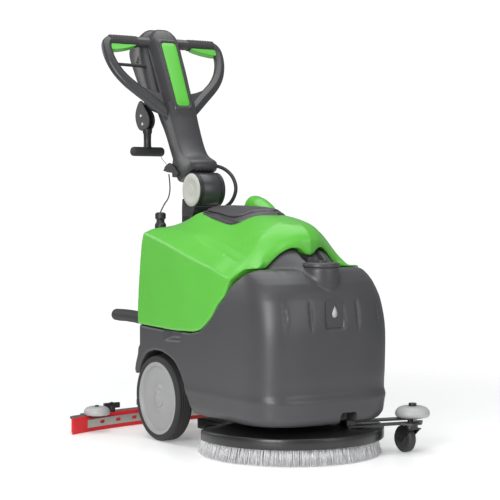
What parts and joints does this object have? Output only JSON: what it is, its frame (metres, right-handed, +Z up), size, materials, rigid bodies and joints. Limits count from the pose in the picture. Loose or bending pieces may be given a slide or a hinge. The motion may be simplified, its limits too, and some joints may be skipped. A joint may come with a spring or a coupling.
{
  "type": "wet dry floor scrubber",
  "caption": "Walk-behind disc floor scrubber: grey solution tank, green tilting recovery tank, tilting loop handle, round brush deck, curved squeegee and drive wheels.",
  "frame": {"origin": "centre of the bounding box, on the floor", "axes": "+Z up and the longest extent, front of the machine towards -Y, +X its left side"},
  "size_m": [0.744, 1.0439, 1.2215],
  "materials": {
    "frame_steel": "satin black powder coat",
    "steel": "brushed",
    "grey_plastic": "rotomoulded, fine texture",
    "green_plastic": "rotomoulded, fine texture",
    "black_plastic": "moulded",
    "handle_plastic": "moulded, satin",
    "green_trim": "satin",
    "light_plastic": "moulded",
    "rubber": "matte",
    "tyre": "matte",
    "rim_plastic": "moulded, satin",
    "roller_plastic": "moulded, satin",
    "blade_rubber": "polyurethane, satin",
    "bristle": "bristles",
    "deck_plastic": "gloss black",
    "motor_metal": "cast",
    "battery_case": "moulded",
    "lid_plastic": "moulded, satin"
  },
  "bodies": {
    "chassis": {"chassis_frame": "frame_steel", "solution_tank": "grey_plastic", "handle_pedestal": "black_plastic", "joint_caps": "light_plastic", "joint_pin": "steel", "wheel_axle": "steel", "batteries": "battery_case", "suction_motor": "motor_metal", "castor_bracket": "frame_steel", "badge_plate": "grey_plastic", "filler_neck": "grey_plastic", "cable_guide": "black_plastic", "pivot_pins": "steel", "lift_cable": "black_plastic", "conduit": "rubber", "deck_cover": "deck_plastic", "brush_gearbox": "motor_metal", "brush_motor": "motor_metal"},
    "recovery": {"recovery_tank": "green_plastic", "tank_grip": "rubber", "tank_inlet": "black_plastic", "float_cage": "light_plastic"},
    "lid": {"tank_lid": "lid_plastic", "lid_seal": "rubber"},
    "cap": {"filler_cap": "lid_plastic"},
    "handle": {"handle_column": "handle_plastic", "handle_frame": "handle_plastic", "rear_housing": "black_plastic", "handle_grips": "rubber", "handle_inlay": "green_trim", "control_panel": "black_plastic", "joint_drum": "handle_plastic", "cable_hook": "black_plastic", "cross_rod": "black_plastic", "lever_wire": "steel"},
    "rocker_brush": {"brush_switch": "black_plastic"},
    "rocker_vacuum": {"vacuum_switch": "black_plastic"},
    "key": {"key_switch": "steel"},
    "triggers": {"drive_triggers": "green_trim"},
    "lever": {"squeegee_lever": "black_plastic", "lever_grip": "rubber"},
    "squeegee_link": {"squeegee_arm": "frame_steel"},
    "squeegee": {"squeegee_body": "frame_steel", "squeegee_blades": "blade_rubber", "blade_straps": "steel", "suction_nozzle": "black_plastic", "wing_knobs": "black_plastic"},
    "roller_right": {"squeegee_roller_right": "roller_plastic"},
    "roller_left": {"squeegee_roller_left": "roller_plastic"},
    "brush": {"brush_block": "black_plastic", "bristles": "bristle"},
    "fork": {"castor_fork": "frame_steel"},
    "castor": {"castor_wheel": "rubber"},
    "bumper": {"front_roller": "roller_plastic"},
    "wheel_right": {"right_tyre": "tyre", "right_rim": "rim_plastic", "right_hubcap": "light_plastic"},
    "wheel_left": {"left_tyre": "tyre", "left_rim": "rim_plastic", "left_hubcap": "light_plastic"}
  },
  "joints": [
    {"name": "handle_tilt", "type": "hinge", "parent": "chassis", "child": "handle", "pos_m": [0, 0.172, 0.718], "axis": [-1, 0, 0], "range_deg": [-35, 25], "deforming": ["lift_cable", "conduit"]},
    {"name": "tank_tilt", "type": "hinge", "parent": "chassis", "child": "recovery", "pos_m": [0, -0.416, 0.47], "axis": [1, 0, 0], "range_deg": [0, 50]},
    {"name": "lid_hinge", "type": "hinge", "parent": "recovery", "child": "lid", "pos_m": [0, 0.039, 0.668], "axis": [-1, 0, 0], "range_deg": [0, 80]},
    {"name": "cap_lift", "type": "slide", "parent": "chassis", "child": "cap", "axis": [0, 0, 1], "range_m": [0, 0.025]},
    {"name": "brush_switch_rock", "type": "hinge", "parent": "handle", "child": "rocker_brush", "pos_m": [-0.024, 0.49041, 1.09669], "axis": [1, 0, 0], "range_deg": [-8, 8]},
    {"name": "vacuum_switch_rock", "type": "hinge", "parent": "handle", "child": "rocker_vacuum", "pos_m": [0.024, 0.49041, 1.09669], "axis": [1, 0, 0], "range_deg": [-8, 8]},
    {"name": "key_turn", "type": "hinge", "parent": "handle", "child": "key", "pos_m": [0, 0.47475, 1.07594], "axis": [0, 0.7982, -0.6023], "range_deg": [0, 90]},
    {"name": "trigger_squeeze", "type": "hinge", "parent": "handle", "child": "triggers", "pos_m": [0, 0.40947, 1.14681], "axis": [1, 0, 0], "range_deg": [0, 9], "stiffness_Nm_per_rad": 3},
    {"name": "squeegee_lift", "type": "hinge", "parent": "chassis", "child": "squeegee_link", "pos_m": [0, 0.176, 0.124], "axis": [1, 0, 0], "range_deg": [0, 14]},
    {"name": "lever_pull", "type": "hinge", "parent": "handle", "child": "lever", "pos_m": [-0.06, 0.43, 0.978], "axis": [1, 0, 0], "range_deg": [0, 63], "deforming": ["lever_wire"]},
    {"name": "squeegee_swivel", "type": "hinge", "parent": "squeegee_link", "child": "squeegee", "pos_m": [0, 0.346, 0.06], "axis": [0, 0, 1], "range_deg": [-15, 15]},
    {"name": "roller_right_spin", "type": "hinge", "parent": "squeegee", "child": "roller_right", "pos_m": [-0.275, 0.334, 0.06], "axis": [0, 0, 1], "continuous": true},
    {"name": "roller_left_spin", "type": "hinge", "parent": "squeegee", "child": "roller_left", "pos_m": [0.275, 0.334, 0.06], "axis": [0, 0, 1], "continuous": true},
    {"name": "brush_spin", "type": "hinge", "parent": "chassis", "child": "brush", "pos_m": [0.006, -0.264, 0.06], "axis": [0, 0, 1], "continuous": true},
    {"name": "castor_swivel", "type": "hinge", "parent": "chassis", "child": "fork", "pos_m": [0.258, -0.478, 0.08], "axis": [0, 0, 1], "continuous": true},
    {"name": "castor_spin", "type": "hinge", "parent": "fork", "child": "castor", "pos_m": [0.258, -0.453, 0.037], "axis": [1, 0, 0], "continuous": true},
    {"name": "bumper_spin", "type": "hinge", "parent": "chassis", "child": "bumper", "pos_m": [0.29, -0.446, 0.105], "axis": [0, 0, 1], "continuous": true},
    {"name": "wheel_right_spin", "type": "hinge", "parent": "chassis", "child": "wheel_right", "pos_m": [-0.19, 0.084, 0.122], "axis": [1, 0, 0], "continuous": true},
    {"name": "wheel_left_spin", "type": "hinge", "parent": "chassis", "child": "wheel_left", "pos_m": [0.19, 0.084, 0.122], "axis": [1, 0, 0], "continuous": true}
  ],
  "couplings": [
    {"joint": "lever_pull", "follows": "squeegee_lift", "ratio": 4.5}
  ]
}
